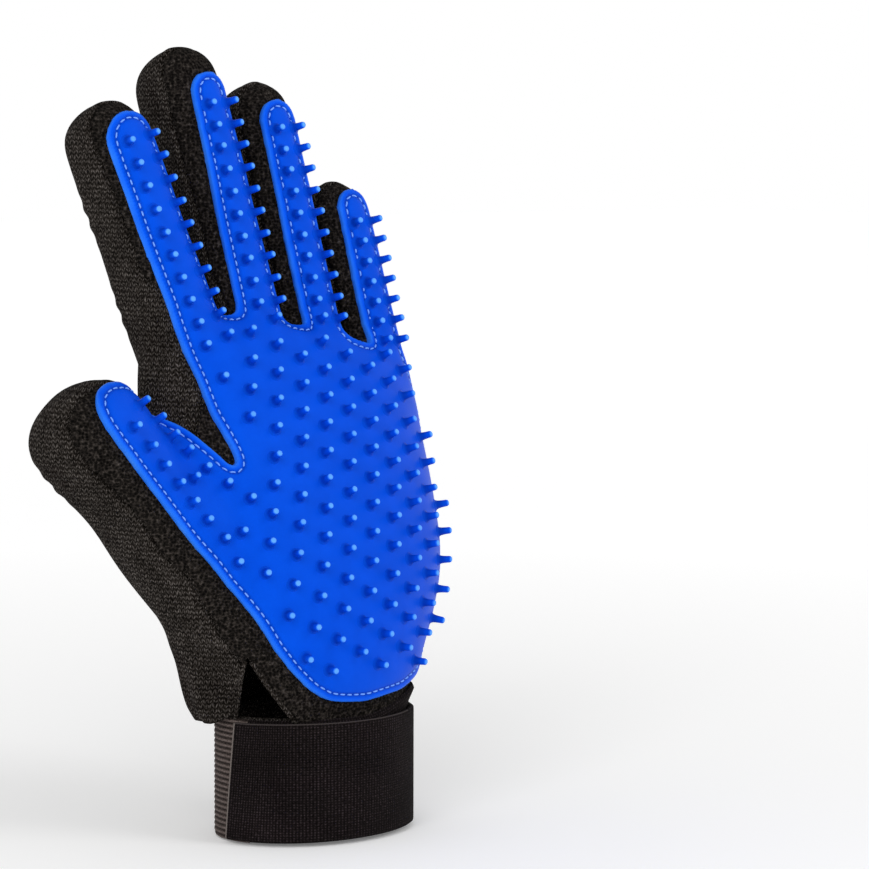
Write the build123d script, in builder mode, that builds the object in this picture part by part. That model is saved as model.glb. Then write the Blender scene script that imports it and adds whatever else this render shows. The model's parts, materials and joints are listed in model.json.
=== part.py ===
from build123d import *

import os
from math import cos, hypot, radians, sin, tan

# A left-hand pet grooming glove, worn upright: knit and mesh panels, a rubber pad with pins, and a wrist closure.
# Units are millimetres. +Z is up, the palm faces -Y, the thumb is at -X, and the origin is the centre of the
# cuff's lower rim. The hand leans back from the upright cuff, so most pieces are placed in the hand's own frame:
# x across to the little finger, y to the back of the hand, z along the hand from the wrist.

# Materials and shared sizes
FABRIC = 1.4  # thickness of a knit or mesh panel
PAD = 2.0  # thickness of the rubber pad
PIN_HEIGHT = 4.6
PIN_FOOT = 1.25  # radius where a pin leaves the pad
PIN_TIP = 0.8  # radius of its rounded tip
PIN_ROOT = 1.3  # depth of a pin's foot inside the pad
GAP = 0.2  # half the clearance between two bodies at a bend
REACH = 90  # longer than any cut needs to be
SHORT_REACH = 21  # past a finger's pins, and short of where the cuts at its two bends would meet
SEAM = 4.0  # the side strips run this far each side of the middle of a digit

# Hand frame
LEAN = radians(14)
WRIST = Vector(0, 0, 49)
ACROSS = Vector(1, 0, 0)
BACK = Vector(0, cos(LEAN), -sin(LEAN))
ALONG = Vector(0, sin(LEAN), cos(LEAN))
HAND = Plane(origin=WRIST, x_dir=ACROSS, z_dir=ALONG)
FRONT = Plane(origin=WRIST, x_dir=ACROSS, z_dir=-BACK)  # seen from the palm side: x across, y along

# Cuff and wrist closure, upright. Angles run round the cuff from its front towards the thumb, in degrees.
CUFF_A, CUFF_B = 30.5, 22.5  # half width and half depth outside the lining
CUFF_TOP = 40.0
BAND = 1.7  # thickness of the ribbed elastic and of the loop landing
BAND_TOP = 38.0
BAND_END = 75
STRAP_LOW, STRAP_TOP = 1.0, 37.5
STRAP = 1.8
PATCH = 0.9
CLEAR = 0.35  # between the closed strap and what it lies on
STRAP_START, STRAP_END = -78, 84
ROOT_START, ROOT_END = -112, -80
PATCH_START, PATCH_END = 36, 80
SLIT_ANGLE = 60
SLIT_LOW, SLIT_HIGH, SLIT_HALF = 38.5, 54.0, 7.5

# Hand sections: distance along the hand, centre across, half width, half depth
SECTIONS = [(14, -3.5, 42.5, 24.5), (37, 0.8, 50.2, 25.2), (62, 1.8, 50.5, 23.0), (86, 3.0, 49.2, 19.4)]
KNUCKLES = (5.0, 104.0, 13.0, 48.5, 16.5)  # centre across and along, slope, half width, half depth

# Digits: root across and along, lean to the thumb's side, length, width, depth, pad half width, two bends
DIGITS = {
    "index": (-32.0, 108.0, 14.2, 75.5, 22.2, 26.0, 8.5, (12.0, 43.0)),
    "middle": (-7.8, 107.0, 6.5, 92.0, 22.0, 26.0, 7.6, (12.0, 51.0)),
    "ring": (16.0, 101.5, 4.6, 86.0, 21.4, 25.0, 7.2, (12.0, 47.0)),
    "little": (40.1, 95.0, 5.8, 60.5, 20.4, 23.5, 6.8, (12.0, 34.0)),
}
THUMB = (-37.0, 30.0, 36.5, 76.0, 28.0, 30.0, 9.5, (0.0, 53.0))
CORNER, DOME = 9.6, 8.8  # corner radius of a digit's section, and rounding of its tip
STUB = -14  # where the fingers' forms start inside the hand
BENDS = (58, 68)  # relief at a finger's two bends, 3 degrees more than it moves
BEND_DEPTH = -6.0  # the bends' axes lie this far towards the palm
THUMB_BEND = 53

# The thumb swings about a line up its side of the palm
FOLD_LOW, FOLD_HIGH = (-37.0, 0.0), (-50.0, 95.0)
FOLD_DEPTH = -15.0
FOLD_RELIEF = 43

# Outline of the rubber pad on the palm and thumb, as (across, along) points from the wrist towards the thumb
PAD_RIM = [
    (2, -11), (-10, -6), (-25, 8), (-38, 24), (-51, 40), (-60, 52), (-68, 64), (-75, 75), (-76, 82), (-71, 86),
    (-62, 84), (-47, 74), (-31, 60), (-28, 61), (-32, 70), (-38, 90), (-41, 106), (-20, 106), (5, 102),
    (28, 96), (48, 96), (50, 84), (51, 60), (49, 34), (44, 16), (34, 1), (20, -9),
]
PIN_PITCH = 7.4
PIN_COLUMN = 4.2
FIRST_PIN = -1.0  # the lowest pair on a finger, from its root
PALM_COLUMN, PALM_ROW = 8.6, 8.9
PALM_FIRST = (-24.0, -2.0)
THUMB_FIRST, THUMB_ROWS = (5.2, 15.0), 7  # across and up the thumb
PIN_REACH = 14.5  # from a bend's axis to the pins' tips
FOLD_CLEAR = 7.5


def hand_point(x, z, y=0.0):
    """A point given in the hand's frame."""
    return WRIST + ACROSS * x + BACK * y + ALONG * z


def digit_plane(x, z, lean):
    """The plane a digit starts from: its normal runs up the digit and its y to the back."""
    turn = radians(lean)
    return Plane(
        origin=hand_point(x, z),
        x_dir=ACROSS * cos(turn) + ALONG * sin(turn),
        z_dir=ALONG * cos(turn) - ACROSS * sin(turn),
    )


def common(shape, *blocks):
    """What a shape shares with every block."""
    with BuildPart() as piece:
        add(shape)
        for block in blocks:
            add(block, mode=Mode.INTERSECT)
    return piece.part


def less(shape, *blocks):
    """A shape with every block taken away."""
    with BuildPart() as piece:
        add(shape)
        for block in blocks:
            add(block, mode=Mode.SUBTRACT)
    return piece.part


def joined(*shapes):
    """Several shapes as one."""
    with BuildPart() as piece:
        for shape in shapes:
            add(shape)
    return piece.part


def write(name, shape):
    """Writes one named piece, without the crumbs that a cut can leave."""
    solids = [s for s in shape.solids() if s.volume > 5]
    piece = solids[0] if len(solids) == 1 else Compound(children=solids)
    piece.label = name
    export_step(piece, f"parts/{name}.step")


def hand_form(grow, drop):
    """The closed outside of the hand below the fingers, grown by a thickness."""
    across, along, slope, half_width, half_depth = KNUCKLES
    top = digit_plane(across, along - drop, -slope)
    with BuildPart() as form:
        with BuildSketch(Plane.XY.offset(CUFF_TOP)):
            Ellipse(CUFF_A + grow, CUFF_B + grow)
        for z, x, a, b in SECTIONS:
            with BuildSketch(HAND.offset(z)):
                with Locations((x, 0)):
                    Ellipse(a + grow, b + grow)
        with BuildSketch(top):
            Ellipse(half_width + grow, half_depth + grow)
        loft()
    return form.part


def digit_form(digit, grow, start):
    """The closed outside of a digit, grown by a thickness: a rounded bar with a domed tip."""
    x, z, lean, length, width, depth = digit[:6]
    plane = digit_plane(x, z, lean)
    with BuildPart() as form:
        with BuildSketch(plane.offset(start)):
            RectangleRounded(width + 2 * grow, depth + 2 * grow, CORNER + grow)
        extrude(amount=length + grow - start)
        tip = form.faces().sort_by(Axis(plane.origin, plane.z_dir))[-1]
        fillet(tip.edges(), DOME + grow)
    return form.part


def stub_form(digit, grow, beyond):
    """The first stretch of a finger, which stays with the hand. It may run on beyond the bend."""
    x, z, lean, _, width, depth, _, bends = digit
    plane = digit_plane(x, z, lean)
    with BuildPart() as stub:
        with BuildSketch(plane.offset(STUB)):
            RectangleRounded(width + 2 * grow, depth + 2 * grow, CORNER + grow)
        extrude(amount=bends[0] + 6 - STUB)
        if not beyond:
            add(stretch(plane, None, (bends[0], BENDS[0])), mode=Mode.INTERSECT)
    return stub.part


def bend_line(height, relief, up, depth, front):
    """One side of a bend, as (y, height) points from the back to the front."""
    clear = height + up * GAP
    return [(REACH, clear), (depth, clear), (front, clear + up * (depth - front) * tan(radians(relief / 2)))]


def stretch(plane, low, high):
    """A block that keeps a digit between two bends, each given as (height, relief) or None for its end."""
    front = -SHORT_REACH if low and high else -REACH
    floor = bend_line(*low, 1, BEND_DEPTH, front) if low else [(REACH, -REACH), (front, -REACH)]
    roof = bend_line(*high, -1, BEND_DEPTH, front) if high else [(REACH, 3 * REACH), (front, 3 * REACH)]
    with BuildPart() as block:
        with BuildSketch(Plane(origin=plane.origin, x_dir=plane.y_dir, z_dir=plane.x_dir)):
            with BuildLine():
                Polyline(*floor, *reversed(roof), close=True)
            make_face()
        extrude(amount=REACH, both=True)
    return block.part


def fold_side(up):
    """A block that keeps the thumb's side of its fold when up is 1, and the hand's side when it is -1."""
    rise = Vector(FOLD_HIGH[0] - FOLD_LOW[0], FOLD_HIGH[1] - FOLD_LOW[1])
    along = (ACROSS * rise.X + ALONG * rise.Y).normalized()
    fold = Plane(origin=hand_point(*FOLD_LOW), x_dir=BACK, z_dir=along)
    with BuildPart() as block:
        with BuildSketch(fold):
            with BuildLine():
                line = bend_line(0, FOLD_RELIEF, up, FOLD_DEPTH, -REACH)
                Polyline(*line, (-REACH, up * 3 * REACH), (REACH, up * 3 * REACH), close=True)
            make_face()
        extrude(amount=3 * REACH, both=True)
    return block.part


def layer(low, high):
    """A block between two distances to the back of the hand's middle plane."""
    with BuildPart() as block:
        with BuildSketch(HAND.offset(-REACH)):
            with Locations((0, (low + high) / 2)):
                Rectangle(4 * REACH, high - low)
        extrude(amount=5 * REACH)
    return block.part


def band(inner, thick, low, high, start, end):
    """A band round the cuff, inner millimetres outside the lining, between two angles."""
    steps = 16
    turns = [radians(start + (end - start) * i / steps) for i in range(steps + 1)]
    rim = [(-REACH * sin(t) * CUFF_A / CUFF_B, -REACH * cos(t)) for t in turns]
    with BuildPart() as piece:
        with BuildSketch(Plane.XY.offset(low)):
            Ellipse(CUFF_A + inner + thick, CUFF_B + inner + thick)
            Ellipse(CUFF_A + inner, CUFF_B + inner, mode=Mode.SUBTRACT)
            if end - start < 360:
                with BuildLine():
                    Polyline((0, 0), *rim, close=True)
                make_face(mode=Mode.INTERSECT)
        extrude(amount=high - low)
    return piece.part


def slit_block():
    """The V-shaped opening above the strap, at the thumb's side of the palm."""
    turn = radians(SLIT_ANGLE)
    outward = Vector(-sin(turn) / CUFF_A, -cos(turn) / CUFF_B, 0).normalized()
    foot = Vector(-CUFF_A * sin(turn), -CUFF_B * cos(turn), SLIT_LOW)
    sideways = outward.cross(Vector(0, 0, 1))
    with BuildPart() as block:
        with BuildSketch(Plane(origin=foot, x_dir=sideways, z_dir=outward).offset(-12)):
            with BuildLine():
                Polyline((-SLIT_HALF, 0), (SLIT_HALF, 0), (0, SLIT_HIGH - SLIT_LOW), close=True)
            make_face()
        extrude(amount=40)
    return block.part


def pad_outline(shrink=0.0):
    """The pad's outline seen from the palm side: the palm and thumb in one, with a strip up each finger."""
    with BuildSketch(FRONT) as outline:
        with BuildLine():
            Polyline(*PAD_RIM, close=True)
        make_face()
        for x, z, lean, length, _, _, half_width, _ in DIGITS.values():
            low, high = -14.0, length - 4
            turn = radians(lean)
            middle = (low + high) / 2
            with Locations((x - middle * sin(turn), z + middle * cos(turn))):
                SlotOverall(high - low, 2 * half_width, rotation=90 + lean)
        if shrink:
            offset(amount=-shrink, kind=Kind.INTERSECTION)
    return outline.sketch


def pad_block():
    """A prism through the pad's outline, on the palm's side only."""
    with BuildPart() as block:
        add(pad_outline())
        extrude(amount=REACH, dir=-BACK)
    return block.part


def pins(surface, directions):
    """Pins that stand square on a surface, where each (point, direction) line first meets it."""
    with BuildPart() as group:
        for point, direction in directions:
            hits = surface.find_intersection_points(Axis(point, direction))
            foot, normal = hits[0]
            stem = Plane(origin=foot - normal * PIN_ROOT, z_dir=normal)
            height = PIN_ROOT + PIN_HEIGHT - PIN_TIP
            with Locations(stem):
                Cone(PIN_FOOT, PIN_TIP, height, align=(Align.CENTER, Align.CENTER, Align.MIN))
            with Locations(stem.offset(height)):
                Sphere(PIN_TIP)
    return group.part


def write_pad(name, shape, surface, lines):
    """Writes a piece of the rubber pad with its pins."""
    with BuildPart() as pad:
        add(shape)
        if lines:
            add(pins(surface, lines))
    write(name, pad.part)


def clear_of_bend(distance, relief):
    """Whether a pin at a distance from a bend stands clear of its relief."""
    return abs(distance) > PIN_REACH * tan(radians(relief / 2)) + PIN_TIP


def pin_line(plane, across, height):
    """A line that meets a digit's front square on, at a place across and up it."""
    return (plane.origin + plane.x_dir * across + plane.z_dir * height - plane.y_dir * REACH, plane.y_dir)


def digit_pins(digit, low, high):
    """Lines for the pairs of pins on a finger between two heights, clear of its bends."""
    plane, length, bends = digit_plane(*digit[:3]), digit[3], digit[7]
    lines = []
    for row in range(12):
        height = FIRST_PIN + row * PIN_PITCH
        clear = all(clear_of_bend(height - bend, relief) for bend, relief in zip(bends, BENDS))
        if low <= height <= min(high, length - 9) and clear:
            lines += [pin_line(plane, side, height) for side in (-PIN_COLUMN, PIN_COLUMN)]
    return lines


def from_fold(x, z):
    """How far a place on the palm is from the thumb's fold, towards the little finger."""
    share = (z - FOLD_LOW[1]) / (FOLD_HIGH[1] - FOLD_LOW[1])
    return x - FOLD_LOW[0] - share * (FOLD_HIGH[0] - FOLD_LOW[0])


def palm_pins():
    """Lines for the staggered pins of the palm, clear of the thumb's fold."""
    inside = pad_outline(5.0)
    lines = []
    for column in range(-5, 10):
        for row in range(-1, 12):
            x = PALM_FIRST[0] + column * PALM_COLUMN
            z = PALM_FIRST[1] + (row + 0.5 * (column % 2)) * PALM_ROW
            flat = FRONT.from_local_coords(Vector(x, z, 0))
            if from_fold(x, z) > FOLD_CLEAR and any(face.is_inside(flat) for face in inside.faces()):
                lines.append((hand_point(x, z, -REACH), BACK))
    return lines


def thumb_pins(low, high):
    """Lines for the pairs of pins on the thumb between two heights, clear of its fold and its bend."""
    x, z, lean = THUMB[:3]
    plane = digit_plane(x, z, lean)
    turn = radians(lean)
    lines = []
    for row in range(THUMB_ROWS):
        height = THUMB_FIRST[1] + row * PIN_PITCH
        for across in (THUMB_FIRST[0] - PIN_COLUMN, THUMB_FIRST[0] + PIN_COLUMN):
            side = from_fold(x - height * sin(turn) + across * cos(turn), z + height * cos(turn) + across * sin(turn))
            clear = clear_of_bend(height - THUMB[7][1], THUMB_BEND) and side < -FOLD_CLEAR
            if low <= height <= high and clear:
                lines.append(pin_line(plane, across, height))
    return lines


os.makedirs("parts", exist_ok=True)

fingers = list(DIGITS.values())
hand_side, thumb_side = fold_side(-1), fold_side(1)
thumb_plane = digit_plane(*THUMB[:3])
thumb_low = stretch(thumb_plane, None, (THUMB[7][1], THUMB_BEND))
thumb_high = stretch(thumb_plane, (THUMB[7][1], THUMB_BEND), None)
layers = {"back": layer(SEAM, REACH), "palm": layer(-REACH, -SEAM), "side": layer(-SEAM, SEAM)}

# Fabric of the hand: one hollow form with the fingers' first stretches and the thumb, cut at its seams
outer = joined(hand_form(0, 0), *[stub_form(d, 0, False) for d in fingers], digit_form(THUMB, 0, 0))
inner = joined(
    hand_form(-FABRIC, FABRIC), *[stub_form(d, -FABRIC, True) for d in fingers], digit_form(THUMB, -FABRIC, 4)
)
skin = less(outer, inner, slit_block())
hand_skin = common(skin, hand_side)
write("back_panel", common(hand_skin, layers["back"]))
write("palm_panel", common(hand_skin, layers["palm"]))
side_walls = common(hand_skin, layers["side"]).solids().filter_by(lambda s: s.volume > 5).sort_by(Axis.X)
index_wall, thumb_wall, *webs = side_walls[:5]
write("index_side_wall", index_wall)
write("thumb_side_wall", thumb_wall)
write("web_index_middle", webs[0])
write("web_middle_ring", webs[1])
write("web_ring_little", webs[2])
write("little_side_wall", Compound(children=side_walls[5:]))

# Rubber pad of the palm, with its pins
grown = joined(hand_form(PAD, 0), *[stub_form(d, PAD, False) for d in fingers], digit_form(THUMB, PAD, 0))
rubber = common(less(grown, outer), pad_block())
write_pad("palm_pad", common(rubber, hand_side), grown, palm_pins())

# Thumb, on its side of the fold, in a base half and a tip half
for half, block in (("base", thumb_low), ("tip", thumb_high)):
    for part, cut in layers.items():
        name = "sides" if part == "side" else part
        write(f"thumb_{name}_{half}", common(skin, thumb_side, block, cut))
for half, block, low, high in (("base", thumb_low, 0, THUMB[7][1]), ("tip", thumb_high, THUMB[7][1], THUMB[3])):
    write_pad(f"thumb_pad_{half}", common(rubber, thumb_side, block), grown, thumb_pins(low, high))

# Fingers: a tube of panels with a pad strip, in a base half and a tip half
strips = pad_block()
for name, digit in DIGITS.items():
    x, z, lean, length, _, _, _, bends = digit
    plane = digit_plane(x, z, lean)
    outside = digit_form(digit, 0, 2)
    tube = less(outside, digit_form(digit, -FABRIC, -2))
    cover = digit_form(digit, PAD, 2)
    rubber = common(less(cover, outside), strips)
    first, second = (bends[0], BENDS[0]), (bends[1], BENDS[1])
    for half, low, high in (("base", first, second), ("tip", second, None)):
        block = stretch(plane, low, high)
        for part, cut in layers.items():
            write(f"{name}_{'sides' if part == 'side' else part}_{half}", common(tube, block, cut))
        lines = digit_pins(digit, low[0], high[0] if high else length)
        write_pad(f"{name}_pad_{half}", common(rubber, block), cover, lines)

# Cuff and its closure
write("cuff_lining", less(band(-FABRIC, FABRIC, STRAP_LOW, CUFF_TOP, 0, 360), slit_block()))
write("cuff_elastic", band(0, BAND, 0, BAND_TOP, BAND_END, 360 - BAND_END))
write("loop_landing", band(0, BAND, 0, BAND_TOP, -BAND_END, BAND_END))
lift = BAND + CLEAR + PATCH
write("strap_root", band(BAND, lift + STRAP - BAND, STRAP_LOW, STRAP_TOP, ROOT_START, ROOT_END))
write("strap_panel", band(lift, STRAP, STRAP_LOW, STRAP_TOP, STRAP_START, STRAP_END))
write("hook_patch", band(lift - PATCH, PATCH, STRAP_LOW + 2, STRAP_TOP - 2, PATCH_START, PATCH_END))
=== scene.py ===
import json
import math

import bpy
import bmesh
import numpy as np
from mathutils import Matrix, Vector
from mathutils.bvhtree import BVHTree
from mathutils.geometry import delaunay_2d_cdt


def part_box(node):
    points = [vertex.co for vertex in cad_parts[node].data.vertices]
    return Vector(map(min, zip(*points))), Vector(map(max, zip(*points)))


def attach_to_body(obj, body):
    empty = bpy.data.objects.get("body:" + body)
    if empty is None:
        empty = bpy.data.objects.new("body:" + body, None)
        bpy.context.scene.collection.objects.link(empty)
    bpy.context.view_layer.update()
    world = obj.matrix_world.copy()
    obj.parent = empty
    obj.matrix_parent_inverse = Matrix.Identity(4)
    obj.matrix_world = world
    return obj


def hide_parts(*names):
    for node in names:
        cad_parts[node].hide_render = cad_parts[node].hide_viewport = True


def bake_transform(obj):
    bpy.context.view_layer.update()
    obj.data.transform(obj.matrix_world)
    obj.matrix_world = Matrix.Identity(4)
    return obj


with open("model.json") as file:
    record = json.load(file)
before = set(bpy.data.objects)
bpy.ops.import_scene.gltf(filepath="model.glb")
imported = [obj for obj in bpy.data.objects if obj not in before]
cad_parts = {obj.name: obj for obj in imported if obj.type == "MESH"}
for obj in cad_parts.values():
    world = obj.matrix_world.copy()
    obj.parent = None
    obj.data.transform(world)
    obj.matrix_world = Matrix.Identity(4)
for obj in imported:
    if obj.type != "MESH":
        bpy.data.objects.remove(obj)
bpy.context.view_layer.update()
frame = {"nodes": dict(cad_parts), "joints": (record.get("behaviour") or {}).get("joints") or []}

MM = 0.001
FINGERS = ("index", "middle", "ring", "little")
rng = np.random.default_rng(7)


# -------- the frame, in millimetres
def unit(v):
    v = np.asarray(v, float)
    return v / np.linalg.norm(v)


def node_points(*names):
    """Vertices of CAD nodes, in millimetres."""
    return np.vstack([[tuple(v.co) for v in frame["nodes"][n].data.vertices] for n in names]) / MM


JOINTS = {j["name"]: j for j in frame["joints"]}


def joint(name):
    """A joint's place in millimetres and the direction of its axis."""
    j = JOINTS[name]
    return np.array(j["pos_m"], float) / MM, unit(j["axis"])


class Digit:
    """A finger or the thumb: origin on its middle line at its lower hinge (the thumb: at its only bend)."""

    def __init__(self, name):
        self.name = name
        bend, axis = joint(f"{name}_middle_bend")
        self.x = axis
        if name == "thumb":
            self.y = BACK
            self.z = unit(np.cross(self.x, self.y))
            start = bend
        else:
            start, _ = joint(f"{name}_knuckle")
            self.z = unit(bend - start)
            self.y = unit(np.cross(self.z, self.x))
        tip = node_points(f"{name}_back_tip", f"{name}_palm_tip", f"{name}_sides_tip")
        rel = tip - start
        across, depth, along = rel @ self.x, rel @ self.y, rel @ self.z
        middle = (across.min() + across.max()) / 2, (depth.min() + depth.max()) / 2
        self.a = (across.max() - across.min()) / 2
        self.b = (depth.max() - depth.min()) / 2
        self.o = start + self.x * middle[0] + self.y * middle[1]
        self.top = along.max()
        self.bend = float((bend - start) @ self.z)

    def local(self, p):
        rel = np.asarray(p, float) - self.o
        return rel @ self.x, rel @ self.y, rel @ self.z

    def point(self, across, depth, along):
        return self.o + self.x * across + self.y * depth + self.z * along


knuckle, knuckle_axis = joint("index_knuckle")
BACK = unit(np.cross(unit(joint("index_middle_bend")[0] - knuckle), knuckle_axis))
ACROSS = np.array([1.0, 0, 0])
ALONG = unit(np.cross(ACROSS, BACK))
CUFF_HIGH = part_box("cuff_lining")[1][2] / MM
FOLD_MIDDLE = (-43.5, -15.0, 47.5)  # where the thumb's fold lies from the wrist: across, back, along
WRIST = joint("thumb_swing")[0] - FOLD_MIDDLE[0] * ACROSS - FOLD_MIDDLE[1] * BACK - FOLD_MIDDLE[2] * ALONG
DIGITS = {n: Digit(n) for n in (*FINGERS, "thumb")}


def to_hand(p):
    """Across, towards the back and along the hand, from the wrist."""
    rel = np.asarray(p, float) - WRIST
    return rel @ ACROSS, rel @ BACK, rel @ ALONG


def hand_point(x, z, y=0.0):
    x, y, z = np.broadcast_arrays(x, y, z)
    return WRIST + x[..., None] * ACROSS + y[..., None] * BACK + z[..., None] * ALONG


# -------- mesh helpers
def new_object(name, verts, faces, smooth=True):
    """A mesh object from points in millimetres."""
    mesh = bpy.data.meshes.new(name)
    points = [tuple(v) for v in np.asarray(verts) * MM]
    mesh.from_pydata(points, [], [tuple(int(i) for i in f) for f in faces])
    mesh.update()
    if smooth:
        mesh.shade_smooth()
    obj = bpy.data.objects.new(name, mesh)
    bpy.context.scene.collection.objects.link(obj)
    return obj


def mesh_arrays(mesh):
    co = np.empty(len(mesh.vertices) * 3)
    mesh.vertices.foreach_get("co", co)
    return co.reshape(-1, 3) / MM, [tuple(p.vertices) for p in mesh.polygons]


def vertex_normals(verts, faces):
    """Area-weighted normals of points in millimetres."""
    normal = np.zeros_like(verts)
    for size in {len(f) for f in faces}:
        f = np.array([f for f in faces if len(f) == size])
        n = np.cross(verts[f[:, 1]] - verts[f[:, 0]], verts[f[:, 2]] - verts[f[:, 0]])
        for k in range(2, size - 1):
            n += np.cross(verts[f[:, k]] - verts[f[:, 0]], verts[f[:, k + 1]] - verts[f[:, 0]])
        for k in range(size):
            np.add.at(normal, f[:, k], n)
    return normal / np.maximum(np.linalg.norm(normal, axis=1, keepdims=True), 1e-9)


def relax(verts, faces, rounds, factor=0.5, weight=None):
    """Moves each point towards the middle of its neighbours."""
    pairs = set()
    for f in faces:
        for i in range(len(f)):
            a, b = f[i], f[(i + 1) % len(f)]
            pairs.add((a, b) if a < b else (b, a))
    e = np.array(sorted(pairs))
    count = np.bincount(e.ravel(), minlength=len(verts))[:, None]
    for _ in range(rounds):
        total = np.zeros_like(verts)
        np.add.at(total, e[:, 0], verts[e[:, 1]])
        np.add.at(total, e[:, 1], verts[e[:, 0]])
        step = (total / np.maximum(count, 1) - verts) * factor
        verts = verts + (step if weight is None else step * weight[:, None])
    return verts


def ring_faces(count, n, capped=True):
    """Faces between rings of n points each, with a cap at both ends."""
    faces = []
    for i in range(count - 1):
        for k in range(n):
            a, b = i * n + k, i * n + (k + 1) % n
            faces.append((a, b, b + n, a + n))
    if capped:
        faces.append(tuple(range(n - 1, -1, -1)))
        faces.append(tuple(range((count - 1) * n, count * n)))
    return faces


def ring_tube(rings):
    """A closed tube through rings of equal length."""
    return np.vstack(rings), ring_faces(len(rings), len(rings[0]))


def merged(parts):
    """One mesh from many, each given as points and faces."""
    verts, faces, base = [], [], 0
    for v, f in parts:
        verts.append(np.asarray(v))
        faces += [tuple(i + base for i in face) for face in f]
        base += len(v)
    return np.vstack(verts), faces


def dress(obj, rest_points, mat, attach_to):
    """Gives a piece its places at rest for the material, its material and its body."""
    rest = obj.data.attributes.new("rest", "FLOAT_VECTOR", "POINT")
    rest.data.foreach_set("vector", (np.asarray(rest_points) * MM).astype(np.float32).ravel())
    obj.data.materials.append(mat)
    attach_to(obj)
    return obj


def superellipse(a, b, power, n=64):
    t = np.linspace(0, 2 * math.pi, n, endpoint=False)
    c, s = np.cos(t), np.sin(t)
    return a * np.sign(c) * np.abs(c) ** (2 / power), b * np.sign(s) * np.abs(s) ** (2 / power)


def smoothstep(x):
    """0 below 0, 1 above 1, and a smooth rise between them."""
    x = np.clip(x, 0, 1)
    return x * x * (3 - 2 * x)


def bell(x, width):
    """1 where x is 0, falling away on both sides."""
    return np.exp(-((x / width) ** 2))


def tree_of(verts, faces):
    return BVHTree.FromPolygons([tuple(v) for v in verts], faces)


# -------- the glove's body: one soft form
KNUCKLE_SLANT = math.tan(math.radians(-13))  # the knuckles stand lower towards the little finger


def hand_rings():
    """Sections of the hand up to the knuckles."""
    neck = CUFF_HIGH - WRIST[2]
    rows = np.array([  # along, across, half width, half depth to the palm and to the back
        (neck - 8, 0.0, 29.8, 22.0, 22.0), (neck, -0.2, 31.2, 23.2, 22.5), (0, -1.0, 36.5, 25.4, 23.4),
        (14, -2.0, 46.0, 27.5, 24.4), (26, -0.2, 49.6, 28.0, 24.4), (37, 0.9, 50.8, 27.4, 24.0),
        (50, 1.4, 51.0, 25.8, 23.2), (62, 1.8, 50.9, 23.8, 22.2), (76, 1.9, 50.6, 21.4, 21.0),
        (88, 2.4, 49.9, 19.2, 19.6), (98, 3.2, 48.5, 17.2, 17.8), (106, 4.2, 44.8, 14.4, 15.2),
    ])
    along = np.linspace(rows[0, 0], rows[-1, 0], 42)
    rings = []
    for z in along:
        x, a, palm, back = (np.interp(z, rows[:, 0], rows[:, k]) for k in range(1, 5))
        u, v = superellipse(a, 1.0, 2.25, 96)
        v = np.where(v < 0, v * palm, v * back)
        if z < neck:
            points = np.stack([u + x, v, np.full_like(u, WRIST[2] + z)], axis=1)
        else:
            tilt = KNUCKLE_SLANT * smoothstep((z - 80) / 26)
            points = hand_point(u + x, z + (u + x) * tilt * 0.6, v)
            upright = np.stack([u + x, v, np.full_like(u, WRIST[2] + z)], axis=1)
            share = smoothstep((z - neck) / 16)
            points = upright * (1 - share) + points * share
        rings.append(points)
    return rings


def thumb_shape(u, v, s):
    """The thumb is fuller towards the palm and the fingers, with a waist on its outer side."""
    waist = bell(s + 19, 12)
    return np.where(u > 0, u * 1.30, u * (1.02 - 0.16 * waist)), np.where(v < 0, v * 1.14, v)


def digit_rings(d, low, power=2.7, tip=11.5, bulb=0.0, taper=0.0, shape=None):
    """Sections of a digit with a rounded tip."""
    rings = []
    body = np.arange(low, d.top - tip, 2.0)
    cap = d.top - tip + tip * np.sin(np.linspace(0, 1, 14) * math.pi / 2 * 0.995)
    for s in np.concatenate([body, cap]):
        t = max(0.0, (s - (d.top - tip)) / tip)
        scale = math.sqrt(max(1 - t**2.2, 1e-4))
        length = d.top - low
        k = 1 - taper * smoothstep((s - low) / length)
        k += bulb * bell(s - d.top + 14, 12) + 0.018 * bell(s - d.bend, 7)
        u, v = superellipse(d.a * k * scale, d.b * k * scale, power)
        v = np.where(v > 0, v * (1.14 + 0.14 * smoothstep((d.bend - s) / 50)), v)
        if shape:
            u, v = shape(u, v, s)
        else:  # neighbouring fingers stay clear of each other above the web
            u = u * (1 - 0.055 * bell(s - 22, 15))
        drop = -1.2 * t * t
        rings.append(d.o + u[:, None] * d.x + (v + drop)[:, None] * d.y + s * d.z)
    return rings


def union(parts, voxel, rounds):
    """One closed mesh round overlapping tubes."""
    obj = new_object("form", *merged(parts), smooth=False)
    mod = obj.modifiers.new("remesh", "REMESH")
    mod.mode = "VOXEL"
    mod.voxel_size = voxel * MM
    deps = bpy.context.evaluated_depsgraph_get()
    mesh = bpy.data.meshes.new_from_object(obj.evaluated_get(deps))
    v, f = mesh_arrays(mesh)
    bpy.data.objects.remove(obj)
    bpy.data.meshes.remove(mesh)
    return relax(v, f, rounds), f


thumb = DIGITS["thumb"]
thumb.top -= 1.5  # the stuffed tip is rounder than the CAD's
parts = [ring_tube(hand_rings())]
for name in FINGERS:
    parts.append(ring_tube(digit_rings(DIGITS[name], -34.0, bulb=0.012, taper=0.02)))
parts.append(ring_tube(digit_rings(thumb, -70.0, power=2.4, tip=14.0, bulb=0.03, shape=thumb_shape)))
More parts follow.
